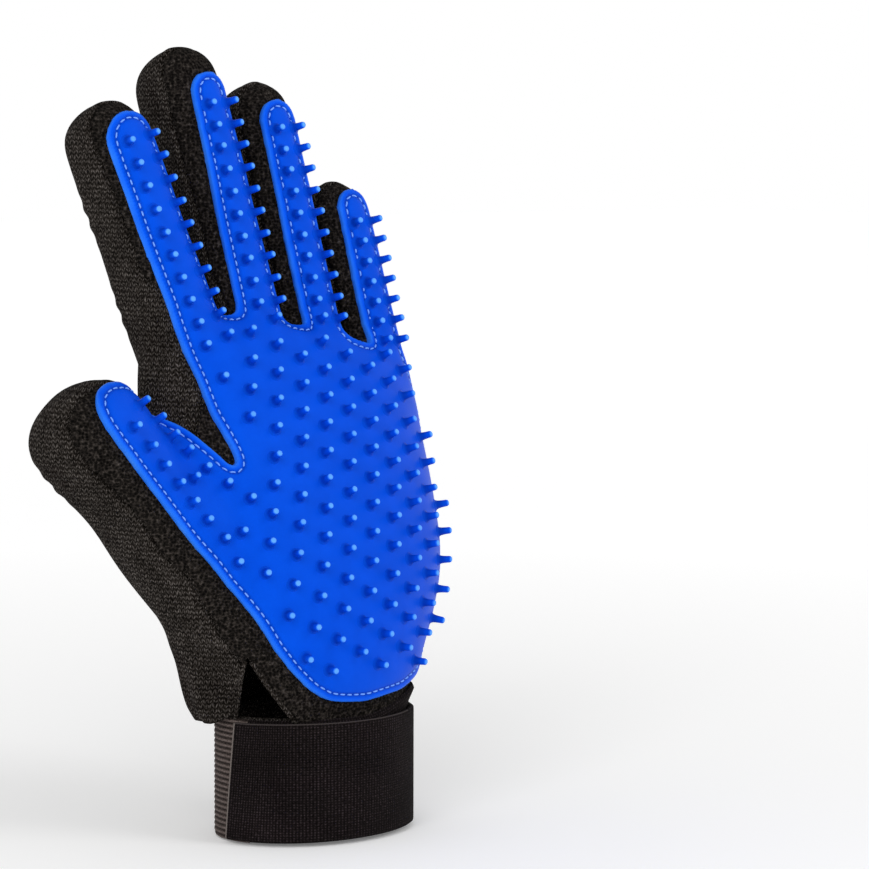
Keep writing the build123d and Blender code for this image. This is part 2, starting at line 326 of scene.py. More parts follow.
# the web and the muscle at the thumb's root
u, v = superellipse(1, 1, 2.2, 48)
root = []
for k in np.linspace(0, 1, 22):
    c = hand_point(-34 - 13 * k, 12 + 60 * k, -1.5 + 1.5 * k)
    a = 16.5 * math.sin(math.pi * (0.12 + 0.80 * k)) ** 0.6
    root.append(c + (u * a)[:, None] * (ACROSS * 0.87 + ALONG * 0.5) + (v * a * 1.15)[:, None] * BACK)
parts.append(ring_tube(root))
VOXEL = 1.25
CUFF_A, CUFF_B = 30.5, 22.5  # half the cuff's width and depth
SMOOTHING_ROUNDS = 14
skin_v, skin_f = union(parts, VOXEL, SMOOTHING_ROUNDS)


def cuff_angle(p):
    """Degrees round the cuff from its front towards the thumb, from -120 to 240."""
    turn = np.degrees(np.arctan2(-p[:, 0] / CUFF_A, -p[:, 1] / CUFF_B))
    return np.where(turn < -120, turn + 360, turn)


SEAM_DEPTH = {"index": 7.2, "middle": 6.0, "ring": 5.6, "little": 5.4, "thumb": 11.6}
THUMB_SEAM_START = -46
SEAM_SINK = 1.3


def seam_depth(p):
    """Signed distance from the seam between knit and mesh, in millimetres: negative on the palm's side."""
    x, y, z = to_hand(p)
    depth = y + 5.0 + 9.0 * smoothstep((-x - 8) / 22)
    for d in DIGITS.values():
        a, b, s = d.local(p)
        start = THUMB_SEAM_START if d.name == "thumb" else -4
        inside = (np.abs(a) < d.a + 1.6) & (s > start)
        share = smoothstep((s - start) / 14)
        depth = np.where(inside, depth * (1 - share) + (b + SEAM_DEPTH[d.name]) * share, depth)
    return depth


def wrinkle(p):
    """Soft folds and gathers of the fabric, in millimetres outwards."""
    x, y, z = to_hand(p)
    height = p[:, 2]
    turn = cuff_angle(p)
    # gathers that fan up from the elastic round the thumb's side and the back
    side = smoothstep((turn - 80) / 14) * smoothstep((270 - turn) / 25)
    fade = smoothstep((height - CUFF_HIGH + 3) / 5) * np.exp(-np.maximum(height - CUFF_HIGH - 6, 0) / 14)
    comb = np.sin(np.radians(turn) * 21 + 0.8 * np.sin(np.radians(turn) * 5 + height * 0.05))
    comb += 0.5 * np.sin(np.radians(turn) * 37 + 1.3 + height * 0.04)
    out = 0.42 * comb * side * fade
    # slack across the palm side of the wrist
    front = bell(turn, 45) * bell(height - CUFF_HIGH - 4, 5)
    out += front * 0.5 * np.sin(height * 1.1 + x * 0.06)
    # broad unevenness
    for kx, ky, kz, phase, size in (
        (0.11, 0.07, 0.09, 0.4, 0.30), (0.05, 0.19, 0.13, 2.1, 0.22), (0.23, 0.11, 0.21, 4.0, 0.14),
    ):
        out += size * np.sin(kx * x + ky * y + kz * z + phase) * smoothstep((height - CUFF_HIGH) / 10)
    # creases at the back of each bend
    for d in DIGITS.values():
        a, b, s = d.local(p)
        near = (np.abs(a) < d.a + 2) & (b > -3)
        for bend in ((d.bend,) if d.name == "thumb" else (0.0, d.bend)):
            r = s - bend
            out += np.where(near, 0.35 * bell(r, 7) * np.sin(r * 1.05 + 0.15 * a), 0)
    return out


normal = vertex_normals(skin_v, skin_f)
seam = seam_depth(skin_v)
above = smoothstep((skin_v[:, 2] - CUFF_HIGH) / 4)
lift = wrinkle(skin_v)
# the knit's turned edge stands up beside the seam
lift += above * 0.55 * bell(seam - 1.9, 1.3)
pad_tree = tree_of(relax(skin_v, skin_f, 10), skin_f)
skin_v = skin_v + normal * lift[:, None]
# the fabric's puff, which hangs over the top of the elastic on the thumb's side and the back
turn = cuff_angle(skin_v)
bag = smoothstep((turn - 76) / 16) * (0.35 + 0.65 * bell(np.maximum(turn - 108, 0), 45))
bag *= smoothstep((300 - turn) / 50)
rise = skin_v[:, 2] - CUFF_HIGH
outward = skin_v[:, :2] / np.linalg.norm(skin_v[:, :2], axis=1, keepdims=True)
PUFF_OUT, PUFF_DOWN = 6.2, 5.2
swell = smoothstep((rise + 3.4) / 4.5) * bell(np.maximum(rise - 4, 0), 10)
skin_v[:, :2] += outward * (PUFF_OUT * bag * swell)[:, None]
skin_v[:, 2] -= PUFF_DOWN * bag * smoothstep((rise + 2.5) / 4) * bell(np.maximum(rise - 3, 0), 9)
skin_v = relax(skin_v, skin_f, 1, 0.35)


# -------- which piece a point belongs to
CROTCH_LEAN = math.radians(3)
CROTCH = (-49.5, 75.0)
FINGER_LEAN, FINGER_EDGE = 0.27, -0.5  # the line beyond which a point can't belong to a finger


def from_crotch_line(p):
    """How far towards the little finger a point lies from the line that parts the thumb from the hand."""
    x, _, z = to_hand(p)
    return (x - CROTCH[0]) * math.cos(CROTCH_LEAN) + (z - CROTCH[1]) * math.sin(CROTCH_LEAN)


KNUCKLE_CUT, KNUCKLE_ZONE = -10.0, (-9.0, 9.0)  # along a finger from its knuckle
BEND_ZONE = 11.0  # how far below a middle bend a finger's end piece starts
THUMB_ZONE = (7.5, -0.5)  # how far from the crotch line the thumb's root piece and its end piece start
THUMB_CUT = -9.0  # along the thumb from its bend


def region_of(p):
    """Piece keys of points: hand, X_root, X_end, thumb_root, thumb_end."""
    p = np.atleast_2d(p)
    key = np.full(len(p), "hand", dtype=object)
    best = np.full(len(p), 1e9)
    away = from_crotch_line(p)
    x, _, z = to_hand(p)
    off_thumb = (x - CROTCH[0]) + FINGER_LEAN * (z - CROTCH[1]) > FINGER_EDGE
    for name in FINGERS:
        d = DIGITS[name]
        a, _, s = d.local(p)
        off = np.abs(a) / d.a
        mine = (s > KNUCKLE_CUT) & (off < 1.3) & (off < best) & off_thumb
        best = np.where(mine, off, best)
        key[mine & (s <= d.bend - BEND_ZONE)] = f"{name}_root"
        key[mine & (s > d.bend - BEND_ZONE)] = f"{name}_end"
    a, _, s = thumb.local(p)
    key[(key == "hand") & (away < THUMB_ZONE[0] + 0.6)] = "thumb_root"
    key[(away < THUMB_ZONE[1]) & (s > THUMB_CUT) & (np.abs(a) < thumb.a * 1.6) & ~off_thumb] = "thumb_end"
    return key


LINE_OUT = ACROSS * math.cos(CROTCH_LEAN) + ALONG * math.sin(CROTCH_LEAN)


def attach(obj, key):
    """Rides a piece on the hand's body; a piece of any other region has its place baked into its mesh."""
    if key == "hand":
        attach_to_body(obj, "hand")
        return
    name, part = key.split("_")
    d = DIGITS[name]
    if key == "thumb_root":
        start, end = (hand_point(*CROTCH) + LINE_OUT * reach for reach in THUMB_ZONE)
    elif key == "thumb_end":
        start, end = d.point(0, 0, THUMB_CUT + 1), d.point(0, 0, 10)
    elif part == "root":
        start, end = (d.point(0, 0, reach) for reach in KNUCKLE_ZONE)
    else:
        start, end = d.point(0, 0, d.bend - BEND_ZONE + 0.5), d.point(0, 0, d.bend + BEND_ZONE)
    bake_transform(obj)


def split(name, verts, faces, normals, label, mat, slot_name, level=None):
    """Cuts a mesh into one piece for each region.

    label gives each face's region, and level a shade value for each point, which carries painted highlights
    and painted shade.
    """
    made = {}
    faces = np.array(faces, dtype=object)
    for key in sorted(set(label)):
        chosen = [f for f, k in zip(faces, label) if k == key]
        used = sorted({i for f in chosen for i in f})
        index = {old: new for new, old in enumerate(used)}
        obj = new_object(f"{name}_{key}", verts[used], [[index[i] for i in f] for f in chosen])
        if level is not None:
            shade = obj.data.attributes.new("level", "FLOAT", "POINT")
            shade.data.foreach_set("value", level[used].astype(np.float32))
        if normals is not None:
            obj.data.normals_split_custom_set_from_vertices([tuple(n) for n in normals[used]])
        dress(obj, verts[used], mat, lambda piece: attach(piece, key))
        made[key] = obj
    return made


# -------- materials
RIB = 1.6  # the elastic's ribs, from one to the next
RIB_SWAY, RIB_WAVES = 0.35, 3  # how far the ribs wander up and down, and how often round the cuff


UNROLLED = 0.48  # millimetres along a band for each degree round it


class Look:
    """One material's nodes. Every value is a number or another node's output."""

    def __init__(self, tree, shader=None):
        self.tree = tree
        self.shader = shader

    def feed(self, socket, value):
        if hasattr(value, "is_output"):
            self.tree.links.new(value, socket)
        else:
            socket.default_value = value

    def node(self, kind, **inputs):
        made = self.tree.nodes.new(kind)
        for name, value in inputs.items():
            self.feed(made.inputs[name.replace("_", " ")], value)
        return made

    def maths(self, operation, *values):
        made = self.tree.nodes.new("ShaderNodeMath")
        made.operation = operation
        for socket, value in zip(made.inputs, values):
            self.feed(socket, value)
        return made.outputs[0]

    def add(self, a, b):
        return self.maths("ADD", a, b)

    def times(self, a, b):
        return self.maths("MULTIPLY", a, b)

    def sine(self, a):
        return self.maths("SINE", a)

    def total(self, *terms):
        """Sum of values, each times its weight."""
        parts = [self.times(value, weight) for value, weight in terms]
        out = parts.pop()
        while parts:
            out = self.add(parts.pop(), out)
        return out

    def place(self, scale=(1000.0, 1000.0, 1000.0)):
        """The piece's own place at rest, in millimetres, which stays with the fabric when it bends."""
        attribute = self.node("ShaderNodeAttribute")
        attribute.attribute_name = "rest"
        mapping = self.node("ShaderNodeMapping", Vector=attribute.outputs["Vector"], Scale=scale)
        return mapping.outputs["Vector"]

    def axes(self, co):
        return self.node("ShaderNodeSeparateXYZ", Vector=co).outputs

    def noise(self, co, scale, detail, roughness=0.5):
        made = self.node("ShaderNodeTexNoise", Vector=co, Scale=scale, Detail=detail, Roughness=roughness)
        return made.outputs["Fac"]

    def cells(self, co, scale, randomness):
        made = self.node("ShaderNodeTexVoronoi", Vector=co, Scale=scale, Randomness=randomness)
        return made.outputs["Distance"]

    def ramp(self, fac, stops):
        made = self.node("ShaderNodeValToRGB", Fac=fac)
        elements = made.color_ramp.elements
        for element, (position, colour) in zip(elements, (stops[0], stops[-1])):
            element.position, element.color = position, (*colour, 1)
        for position, colour in stops[1:-1]:
            elements.new(position).color = (*colour, 1)
        return made.outputs["Color"]

    def colour(self, fac, stops):
        self.feed(self.shader.inputs["Base Color"], self.ramp(fac, stops))

    def bump(self, height, distance, strength):
        made = self.node("ShaderNodeBump", Height=height, Distance=distance, Strength=strength)
        self.feed(self.shader.inputs["Normal"], made.outputs["Normal"])


def material(name, base, roughness, build, **sockets):
    mat = bpy.data.materials.new(name)
    mat.use_nodes = True
    shader = mat.node_tree.nodes["Principled BSDF"]
    shader.inputs["Base Color"].default_value = (*base, 1)
    shader.inputs["Roughness"].default_value = roughness
    for socket, value in sockets.items():
        shader.inputs[socket.replace("_", " ")].default_value = value
    build(Look(mat.node_tree, shader))
    return mat


def knit(look):
    """Fine jersey: slanted stitches in columns up the hand, with lighter specks: paler yarn flecks together
    with painted highlights where the knit stands highest.
    """
    co = look.place()
    x, y, z = look.axes(co)
    around = look.total((x, 1.05), (y, -0.95))
    bent = look.add(around, look.times(look.noise(co, 0.11, 2.0), 5.0))
    leg = look.maths("PINGPONG", bent, 1.0)
    rise = look.total((z, 4.2), (look.noise(co, 0.6, 1.0), 8.0))
    row = look.sine(look.add(rise, look.times(leg, 4.4)))
    across = look.sine(look.times(leg, math.pi))
    loop = look.times(look.add(row, 1.0), look.add(across, 0.45))
    fine = look.noise(co, 1.1, 3.0, 0.65)
    patch = look.noise(co, 0.12, 2.0)
    height = look.total((loop, 0.13), (fine, 0.80), (patch, 0.22))
    # the palest stops are painted highlights on the knit's highest specks
    look.colour(height, [(0.46, (0.0026, 0.00182, 0.0013)), (0.66, (0.0195, 0.01586, 0.01326)),
                         (0.84, (0.0598, 0.052, 0.0468)), (1.0, (0.156, 0.1391, 0.1274))])
    look.bump(height, 0.0009, 0.9)


def air_mesh(look):
    """Coarse air mesh: small holes between uneven yarns, with warm flecks."""
    co = look.place((1000.0, 800.0, 1000.0))
    height = look.total((look.cells(co, 1.05, 0.75), 0.45), (look.noise(co, 1.25, 4.0, 0.7), 0.85))
    look.colour(height, [(0.44, (0.00103, 0.0008, 0.00069)), (0.64, (0.00978, 0.00805, 0.0069)),
                         (0.80, (0.0368, 0.03047, 0.02645)), (1.0, (0.115, 0.10005, 0.09085))])
    look.bump(height, 0.0011, 1.0)


def pile(look):
    """Brushed loop pile with a faint warm-violet cast, in fine dotted columns."""
    co = look.place()
    x, _, z = look.axes(co)
    column = look.sine(look.times(x, 7.0))
    dot = look.sine(look.times(z, 8.0))
    dots = look.times(look.add(column, 1.0), look.add(dot, 1.6))
    fine = look.noise(co, 1.3, 5.0, 0.75)
    broad = look.noise(co, 0.06, 2.0)
    height = look.total((dots, 0.045), (fine, 0.9), (broad, 0.2))
    look.colour(height, [(0.46, (0.00162, 0.00108, 0.00108)), (0.68, (0.00972, 0.00702, 0.00716)),
                         (0.92, (0.054, 0.0405, 0.04455))])
    look.bump(height, 0.0006, 0.8)


def elastic(look):
    """Woven elastic: dark lines between the ribs and bare threads along them."""
    co = look.place()
    x, _, z = look.axes(co)
    sway = look.sine(look.times(x, RIB_WAVES * math.pi / 180 / UNROLLED))
    rib = look.maths("COSINE", look.times(look.add(z, look.times(sway, RIB_SWAY)), 2 * math.pi / RIB))
    fine = look.noise(co, 1.8, 3.0)
    look.colour(look.add(look.times(rib, 0.22), fine), [
        (0.25, (0.01215, 0.00891, 0.00783)), (0.55, (0.0675, 0.0513, 0.0459)),
        (0.85, (0.16875, 0.135, 0.12555))])
    look.bump(fine, 0.0003, 0.6)


def rubber(look):
    """Moulded soft rubber: a faint mottle, with painted highlights on the rims and pin tips and painted shade
    round the pins' feet and in the stitch groove.
    """
    co = look.place()
    # the level attribute carries painted highlights and painted shade
    level = look.node("ShaderNodeAttribute")
    level.attribute_name = "level"
    shade = look.add(level.outputs["Fac"], look.times(look.noise(co, 0.12, 4.0), 0.16))
    # the darkest stop is painted shade, the two palest stops are painted highlight colours
    look.colour(shade, [(0.20, (0.0006, 0.026, 0.33)), (0.56, (0.0010, 0.068, 0.66)),
                        (0.66, (0.0014, 0.082, 0.76)), (0.84, (0.022, 0.180, 0.88)),
                        (1.0, (0.110, 0.360, 0.98))])
    look.bump(look.noise(co, 2.2, 2.0), 0.00012, 0.35)


def hooks(look):
    """Rows of small moulded hooks."""
    cells = look.cells(look.place(), 0.9, 0.1)
    look.colour(cells, [(0.1, (0.030, 0.029, 0.029)), (0.6, (0.006, 0.006, 0.006))])
    look.bump(cells, 0.0006, 1.0)


def twist(look):
    """Thread with a fine twist."""
    look.bump(look.noise(look.place(), 3.0, 2.0), 0.0002, 0.5)


def far_glow(look):
    """The floor brightens with distance, so that it meets the background with no horizon."""
    away = look.node("ShaderNodeVectorMath")
    away.operation = "LENGTH"
    look.feed(away.inputs[0], look.node("ShaderNodeTexCoord").outputs["Object"])
    glow = look.ramp(look.times(away.outputs["Value"], 0.4), [
        (0.04, (0.14, 0.14, 0.14)), (0.30, (0.36, 0.36, 0.36)), (0.8, (0.46, 0.46, 0.46))])
    look.feed(look.shader.inputs["Emission Color"], glow)


KNIT = material("knit_back", (0.025, 0.021, 0.0185), 0.95, knit, Specular_IOR_Level=0.04)
MESH = material("mesh_palm", (0.017, 0.014, 0.012), 0.92, air_mesh, Specular_IOR_Level=0.04)
PILE = material("strap_pile", (0.009, 0.0065, 0.0066), 0.95, pile,
                Sheen_Weight=0.012, Sheen_Roughness=0.5, Specular_IOR_Level=0.04)
ELASTIC = material("ribbed_elastic", (0.061, 0.047, 0.042), 0.85, elastic, Specular_IOR_Level=0.08)
LINING = material("lining", (0.012, 0.011, 0.010), 0.95, knit, Specular_IOR_Level=0.1)
RUBBER = material("rubber_pad", (0.001, 0.07, 0.66), 0.45, rubber,
                  Specular_IOR_Level=0.14, Specular_Tint=(0.06, 0.45, 1.0, 1))
THREAD = material("thread", (0.16, 0.36, 0.95), 0.5, twist, Specular_IOR_Level=0.2)
HOOK = material("hook_tape", (0.012, 0.012, 0.013), 0.55, hooks)
# the strap's cut edges are coloured pale as a painted highlight: brighter on the upright end edge, dimmer
# along the top edge
CUT_EDGE_HIGHLIGHT = material("cut_edge_highlight", (0.15, 0.128, 0.118), 0.9, twist, Specular_IOR_Level=0.1)
DIM_EDGE_HIGHLIGHT = material("dim_edge_highlight", (0.045, 0.037, 0.036), 0.9, twist, Specular_IOR_Level=0.1)

# -------- fabric pieces
# the V-shaped wrist slit, leaning a little: its foot on the cuff, its tip and its two lower corners
HEM = CUFF_HIGH - 3.5
SLIT_TURN = math.radians(62)
slit_out = unit([-math.sin(SLIT_TURN) / CUFF_A, -math.cos(SLIT_TURN) / CUFF_B, 0])
slit_side = unit(np.cross([0, 0, 1.0], slit_out))
SLIT_FOOT = np.array([-32.0 * math.sin(SLIT_TURN), -24.0 * math.cos(SLIT_TURN), HEM])
SLIT_TIP, SLIT_LEFT, SLIT_RIGHT = (-1.6, 22.0), -8.5, 10.8
SLIT_NEAR, SLIT_BEHIND = 16, -9  # what is farther across or behind isn't cut


def slit_place(p):
    """Across the slit, up it, and outwards from it."""
    rel = p - SLIT_FOOT
    return rel @ slit_side, rel[..., 2], rel @ slit_out


def slit_edge(corner):
    """A cutting plane along one edge of the slit: a point and a normal that faces the slit's inside."""
    low = SLIT_FOOT + slit_side * corner
    high = SLIT_FOOT + slit_side * SLIT_TIP[0] + np.array([0, 0, SLIT_TIP[1]])
    n = unit(np.cross(slit_out, high - low))
    inside = SLIT_FOOT + slit_side * (SLIT_LEFT + SLIT_RIGHT) / 2 - low
    return low, n if n @ inside > 0 else -n


cut = bmesh.new()
points = [cut.verts.new(tuple(v)) for v in skin_v]
for f in skin_f:
    cut.faces.new([points[i] for i in f])
cut.verts.ensure_lookup_table()


def bisect(faces, place, direction):
    """Cuts some of the skin's faces along a plane."""
    corners = dict.fromkeys(v for f in faces for v in f.verts)
    sides = dict.fromkeys(e for f in faces for e in f.edges)
    bmesh.ops.bisect_plane(cut, geom=[*corners, *sides, *faces], plane_co=tuple(place),
                           plane_no=tuple(direction), dist=0.02)


low_faces = [f for f in cut.faces if abs(f.calc_center_median().z - HEM) < 4]
bisect(low_faces, (0, 0, HEM), (0, 0, 1))
bmesh.ops.delete(cut, geom=[f for f in cut.faces if f.calc_center_median().z < HEM], context="FACES")
for corner in (SLIT_LEFT, SLIT_RIGHT):
    place, direction = slit_edge(corner)
    near = []
    for f in cut.faces:
        across, up, out = slit_place(np.array(f.calc_center_median()))
        if abs(across) < SLIT_NEAR and up < SLIT_TIP[1] + 2 and out > SLIT_BEHIND:
            near.append(f)
    bisect(near, place, direction)
edges_of_slit = [slit_edge(c) for c in (SLIT_LEFT, SLIT_RIGHT)]


def in_slit(p):
    """Whether a point lies between the slit's two edges."""
    across, up, out = slit_place(p)
    return out > SLIT_BEHIND and up < SLIT_TIP[1] and all((p - place) @ n > 0 for place, n in edges_of_slit)


slit_faces = [f for f in cut.faces if in_slit(np.array(f.calc_center_median()))]
bmesh.ops.delete(cut, geom=slit_faces, context="FACES")
bmesh.ops.delete(cut, geom=[v for v in cut.verts if not v.link_faces], context="VERTS")
# cut along the seam and sink its line
cut.verts.index_update()
side = seam_depth(np.array([v.co[:] for v in cut.verts]))
crossed = [e for e in cut.edges if side[e.verts[0].index] * side[e.verts[1].index] < 0]
on_seam = []
for e in crossed:
    a, b = side[e.verts[0].index], side[e.verts[1].index]
    on_seam.append(bmesh.utils.edge_split(e, e.verts[0], min(max(a / (a - b), 0.1), 0.9))[1])
bmesh.ops.connect_verts(cut, verts=on_seam)
cut.normal_update()
for v in on_seam:
    v.co -= v.normal * SEAM_SINK * float(smoothstep((v.co.z - CUFF_HIGH) / 4))
cut.verts.index_update()
skin_v = np.array([v.co[:] for v in cut.verts])
skin_f = [tuple(v.index for v in f.verts) for f in cut.faces]
cut.free()
centre = np.array([skin_v[list(f)].mean(axis=0) for f in skin_f])
normal = vertex_normals(skin_v, skin_f)
label = region_of(centre)
palm_side = seam_depth(centre) < 0
knit_faces = [f for f, palm in zip(skin_f, palm_side) if not palm]
mesh_faces = [f for f, palm in zip(skin_f, palm_side) if palm]
knit_pieces = split("knit", skin_v, knit_faces, normal, label[~palm_side], KNIT, "knit_back")
mesh_pieces = split("mesh", skin_v, mesh_faces, normal, label[palm_side], MESH, "mesh_palm")


# -------- the rubber pad
PAD_RIM = np.array([  # the pad without its finger strips, round the palm: across and along
    (2, -12.2), (-5, -11.8), (-11.6, -10.8), (-18, -7.0), (-23.6, -1.1), (-29, 6.6), (-38.8, 24), (-48, 37.6),
    (-60.1, 55.5), (-72.8, 73), (-76.4, 79), (-77.2, 84.2), (-75.0, 88.8), (-70.4, 91.4), (-63.5, 91.8),
    (-56.4, 89.6), (-48.8, 84.4), (-41.2, 76.4), (-35.0, 67.4), (-32.0, 61.8), (-30.5, 62.4), (-31.6, 68),
    (-35.3, 80), (-37.4, 96), (-40.5, 112), (-19, 111), (5.2, 106.5), (29, 100.2), (48, 96), (51, 86),
    (52.4, 70), (52.6, 55), (51.8, 40), (49.3, 27), (44.8, 14), (37.4, 3.2), (28, -5.5), (17.5, -9.8),
])
# half width at the root and the tip, shift across at the root and the tip, distance short of the fingertip
STRIPS = {
    "index": (8.9, 8.5, 1.1, 0.2, 6.0), "middle": (8.3, 6.6, 0.2, 0.9, 10.2),
    "ring": (7.0, 6.6, 0.2, 0.2, 7.6), "little": (6.9, 6.2, 0.2, 0.9, 4.8),
}
RIM_H, STITCH_IN, PIN_UP = 1.9, 2.7, 4.6
BLEND = 1.6  # how softly a finger's strip runs into the pad
STRIP_ROOT = -24.0  # where a strip's middle line starts, along the finger
PAD_LIFT, RIM_DOWN, PIN_LIFT = 0.15, 0.9, 0.12
FIELD_DEPTH = 4.2  # no pin stands lower than the pad is this far inside its rim
INTO_GLOVE = 8 * BACK  # what lies on the pad moves with the fabric this far behind it


def strip_line(name):
    """A finger strip's middle line in the palm's plane: two ends as (across, along)."""
    d = DIGITS[name]
    root, tip, low_shift, high_shift, short = STRIPS[name]
    ends = []
    for s, shift in ((STRIP_ROOT, low_shift), (d.top - short - tip, high_shift)):
        x, _, z = to_hand(d.point(shift, -d.b, s))
        ends.append((x, z))
    return np.array(ends)


def pad_distance(q):
    """Signed distance from the pad's outline in the palm's plane, negative inside."""
    q = np.atleast_2d(q)
    a, b = PAD_RIM, np.roll(PAD_RIM, -1, axis=0)
    best, inside = np.full(len(q), 1e9), np.zeros(len(q), bool)
    for p0, p1 in zip(a, b):
        e, w = p1 - p0, q - p0
        t = np.clip(w @ e / (e @ e), 0, 1)[:, None]
        best = np.minimum(best, np.linalg.norm(w - t * e, axis=1))
        cross = (p0[1] > q[:, 1]) != (p1[1] > q[:, 1])
        with np.errstate(divide="ignore", invalid="ignore"):
            cut = p0[0] + (q[:, 1] - p0[1]) * e[0] / (e[1] if e[1] else 1e-9)
        inside ^= cross & (q[:, 0] < cut)
    field = np.where(inside, -best, best)
    for name in FINGERS:
        p0, p1 = strip_line(name)
        e, w = p1 - p0, q - p0
        t = np.clip(w @ e / (e @ e), 0, 1)
        radius = STRIPS[name][0] + (STRIPS[name][1] - STRIPS[name][0]) * t
        one = np.linalg.norm(w - t[:, None] * e, axis=1) - radius
        h = np.clip(0.5 + 0.5 * (field - one) / BLEND, 0, 1)
        field = field * (1 - h) + one * h - BLEND * h * (1 - h)
    return field


GRID = 0.5
gx, gz = np.arange(-82, 60, GRID), np.arange(-16, 200, GRID)
mesh_x, mesh_z = np.meshgrid(gx, gz, indexing="ij")
field = pad_distance(np.stack([mesh_x.ravel(), mesh_z.ravel()], axis=1)).reshape(mesh_x.shape)
for _ in range(14):  # rounds the outline's corners
    core = field[1:-1, 1:-1]
    around = field[2:, 1:-1] + field[:-2, 1:-1] + field[1:-1, 2:] + field[1:-1, :-2]
    field[1:-1, 1:-1] = core + 0.2 * (around - 4 * core)


def sample(grid, q):
    """Bilinear value of a field at places in the palm's plane."""
    u = np.clip((q[:, 0] - gx[0]) / GRID, 0, len(gx) - 1.001)
    w = np.clip((q[:, 1] - gz[0]) / GRID, 0, len(gz) - 1.001)
    i, j = u.astype(int), w.astype(int)
    u, w = u - i, w - j
    return (grid[i, j] * (1 - u) * (1 - w) + grid[i + 1, j] * u * (1 - w)
            + grid[i, j + 1] * (1 - u) * w + grid[i + 1, j + 1] * u * w)


def contours(grid, level):
    """Closed lines where a field meets a level, as arrays of (across, along)."""
    inside = grid < level
    links = {}

    def crossing(i0, j0, i1, j1):
        a, b = grid[i0, j0], grid[i1, j1]
        t = (level - a) / (b - a)
        return (gx[0] + GRID * (i0 + (i1 - i0) * t), gz[0] + GRID * (j0 + (j1 - j0) * t))

    cells = np.argwhere((inside[:-1, :-1] != inside[1:, :-1]) | (inside[:-1, :-1] != inside[:-1, 1:])
                        | (inside[1:, 1:] != inside[1:, :-1]) | (inside[1:, 1:] != inside[:-1, 1:]))
    place = {}
    for i, j in cells:
        edges = []
        a, b, c, d = (i, j), (i + 1, j), (i + 1, j + 1), (i, j + 1)
        for key in ((a, b), (b, c), (d, c), (a, d)):
            if inside[key[0]] != inside[key[1]]:
                edges.append(key)
                if key not in place:
                    place[key] = crossing(*key[0], *key[1])
        for a, b in zip(edges[::2], edges[1::2]):
            links.setdefault(a, []).append(b)
            links.setdefault(b, []).append(a)
    lines, seen = [], set()
    for start in links:
        if start in seen:
            continue
        line, at = [start], start
        seen.add(start)
        while True:
            ahead = [k for k in links[at] if k not in seen]
            if not ahead:
                break
            at = ahead[0]
            seen.add(at)
            line.append(at)
        if len(line) > 8:
            lines.append(np.array([place[k] for k in line]))
    return lines


def resample(line, step):
    """Evenly spaced points along a closed line."""
    closed = np.vstack([line, line[:1]])
    length = np.concatenate([[0], np.cumsum(np.linalg.norm(np.diff(closed, axis=0), axis=1))])
    count = max(8, int(round(length[-1] / step)))
    at = np.linspace(0, length[-1], count, endpoint=False)
    return np.stack([np.interp(at, length, closed[:, k]) for k in (0, 1)], axis=1), length[-1] / count


rim, _ = resample(max(contours(field, 0.0), key=len), 1.0)
rim_points = resample(rim, 0.25)[0]


def rim_distance(q):
    """How far places lie from the pad's rim."""
    out = np.empty(len(q))
    for k in range(0, len(q), 2000):
        block = q[k:k + 2000]
        out[k:k + 2000] = np.sqrt(((block[:, None] - rim_points[None]) ** 2).sum(axis=2)).min(axis=1)
    return out


# how far inside the rim each place of the grid lies, exact near the rim
DEEP, OUTSIDE = 16.0, 0.6
close = (field < OUTSIDE) & (field > -DEEP)
true_depth = np.where(field <= -DEEP, DEEP, -field)
flat_q = np.stack([mesh_x[close], mesh_z[close]], axis=1)
true_depth[close] = np.where(field[close] < 0, 1, -1) * rim_distance(flat_q)

# the pad's points: rows that follow the rim, and an even lattice inside them
points = [rim]
for inset in (0.3, 0.7, 1.2, 1.8, 2.25, 2.5, 2.7, 2.9, 3.15, 3.6, 4.4, 5.6):
    for line in contours(-true_depth, -inset):
        if len(line) > 20:
            points.append(resample(line, 1.15)[0])
inner_x, inner_z = np.meshgrid(np.arange(-80, 56, 1.7), np.arange(-14, 196, 1.7), indexing="ij")
inner = np.stack([inner_x.ravel(), inner_z.ravel()], axis=1)
inner = inner[sample(true_depth, inner) > 6.6]
points.append(inner)
flat = np.vstack(points)
n_rim = len(rim)
edges = [(i, (i + 1) % n_rim) for i in range(n_rim)]
cdt = delaunay_2d_cdt([Vector(p) for p in flat], edges, [], 1, 1e-5)
flat = np.array([tuple(p) for p in cdt[0]])
tris = np.array([f for f in cdt[2] if len(f) == 3])
area = np.cross(flat[tris[:, 1]] - flat[tris[:, 0]], flat[tris[:, 2]] - flat[tris[:, 0]])
tris[area < 0] = tris[area < 0][:, ::-1]
tris = tris[(sample(field, flat[tris].mean(axis=1)) < 0.05) & (np.abs(area) > 1e-4)]
used = np.unique(tris)
remap = np.full(len(flat), -1)
remap[used] = np.arange(len(used))
flat, tris = flat[used], remap[tris]


FAR_IN_FRONT, TO_PALM = -90.0, 88.0  # a place in front of the glove, and the way from it to the palm


def drop_on(q):
    """Where the palm's side of the glove lies behind places in the palm's plane."""
    start = hand_point(q[:, 0], q[:, 1], FAR_IN_FRONT)
    out = np.empty((len(q), 3))
    for i, p in enumerate(start):
        hit = pad_tree.ray_cast(tuple(p), tuple(BACK))[0]
        out[i] = hit or pad_tree.find_nearest(tuple(p + BACK * TO_PALM))[0]
    return out


foot = drop_on(flat)
tri_faces = [tuple(t) for t in tris]
foot = relax(foot, tri_faces, 6, 0.4)
up = vertex_normals(foot, tri_faces)
if (up @ -BACK).mean() < 0:
    tri_faces = [f[::-1] for f in tri_faces]
    up = vertex_normals(foot, tri_faces)
up = relax(up, tri_faces, 8, 0.5)
up /= np.linalg.norm(up, axis=1, keepdims=True)


